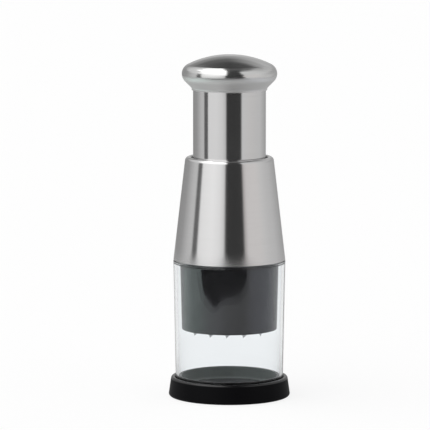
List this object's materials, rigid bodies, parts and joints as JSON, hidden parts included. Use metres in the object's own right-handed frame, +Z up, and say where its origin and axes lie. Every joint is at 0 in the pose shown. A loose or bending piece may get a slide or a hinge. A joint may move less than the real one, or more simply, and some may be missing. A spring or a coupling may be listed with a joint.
{
  "type": "plunger food chopper",
  "caption": "Push-down food chopper with a steel knob and conical steel housing over a clear cup, a zigzag blade in a guard, and a black base cap.",
  "frame": {"origin": "centre of the foot ring, on the surface the chopper stands on", "axes": "+Z up along the axis of the chopper, -Y towards the viewer"},
  "size_m": [0.0876, 0.0876, 0.2474],
  "materials": {
    "brushed_steel": "satin, fine lengthwise brushing",
    "polished_steel": "semi-polished",
    "blade_steel": "ground",
    "screw_steel": "plated",
    "spring_steel": "drawn wire",
    "clear_plastic": "clear moulded plastic",
    "guard_plastic": "glossy",
    "core_plastic": "moulded",
    "carrier_plastic": "moulded",
    "nut_plastic": "acetal",
    "black_plastic": "satin",
    "board_plastic": "satin",
    "foot_rubber": "matt",
    "seal_rubber": "matt silicone"
  },
  "bodies": {
    "base": {"base_cap": "black_plastic", "cutting_pad": "board_plastic", "foot_ring": "foot_rubber"},
    "cup": {"clear_cup": "clear_plastic"},
    "housing": {"housing_shell": "brushed_steel", "housing_core": "core_plastic", "guide_bush": "core_plastic", "index_nut": "nut_plastic", "nut_retainer": "core_plastic", "retainer_screws": "screw_steel", "spring_seat": "screw_steel", "stroke_bumper": "foot_rubber", "blade_guard": "guard_plastic", "guard_screws": "screw_steel", "cup_seal": "seal_rubber", "return_spring": "spring_steel"},
    "plunger": {"knob_cap": "polished_steel", "knob_core": "core_plastic", "plunger_sleeve": "brushed_steel", "stop_ring": "core_plastic", "push_rod": "nut_plastic", "rod_pin": "screw_steel"},
    "blade": {"drive_shaft": "screw_steel", "swivel_washer": "screw_steel", "swivel_screw": "screw_steel", "blade_carrier": "carrier_plastic", "carrier_pin": "screw_steel", "zigzag_blade": "blade_steel"}
  },
  "joints": [
    {"name": "base_lift", "type": "slide", "parent": "base", "child": "cup", "axis": [0, 0, 1], "range_m": [0, 0.03]},
    {"name": "housing_lift", "type": "slide", "parent": "cup", "child": "housing", "axis": [0, 0, 1], "range_m": [0, 0.07]},
    {"name": "plunger_press", "type": "slide", "parent": "housing", "child": "plunger", "axis": [0, 0, -1], "range_m": [0, 0.0395], "stiffness_N_per_m": 600, "springref_m": -0.02, "deforming": ["return_spring"]},
    {"name": "blade_index", "type": "hinge", "parent": "plunger", "child": "blade", "pos_m": [0, 0, 0.12], "axis": [0, 0, 1], "range_deg": [0, 30]}
  ],
  "couplings": [
    {"joint": "blade_index", "follows": "plunger_press", "rad_per_m": 13.09}
  ]
}
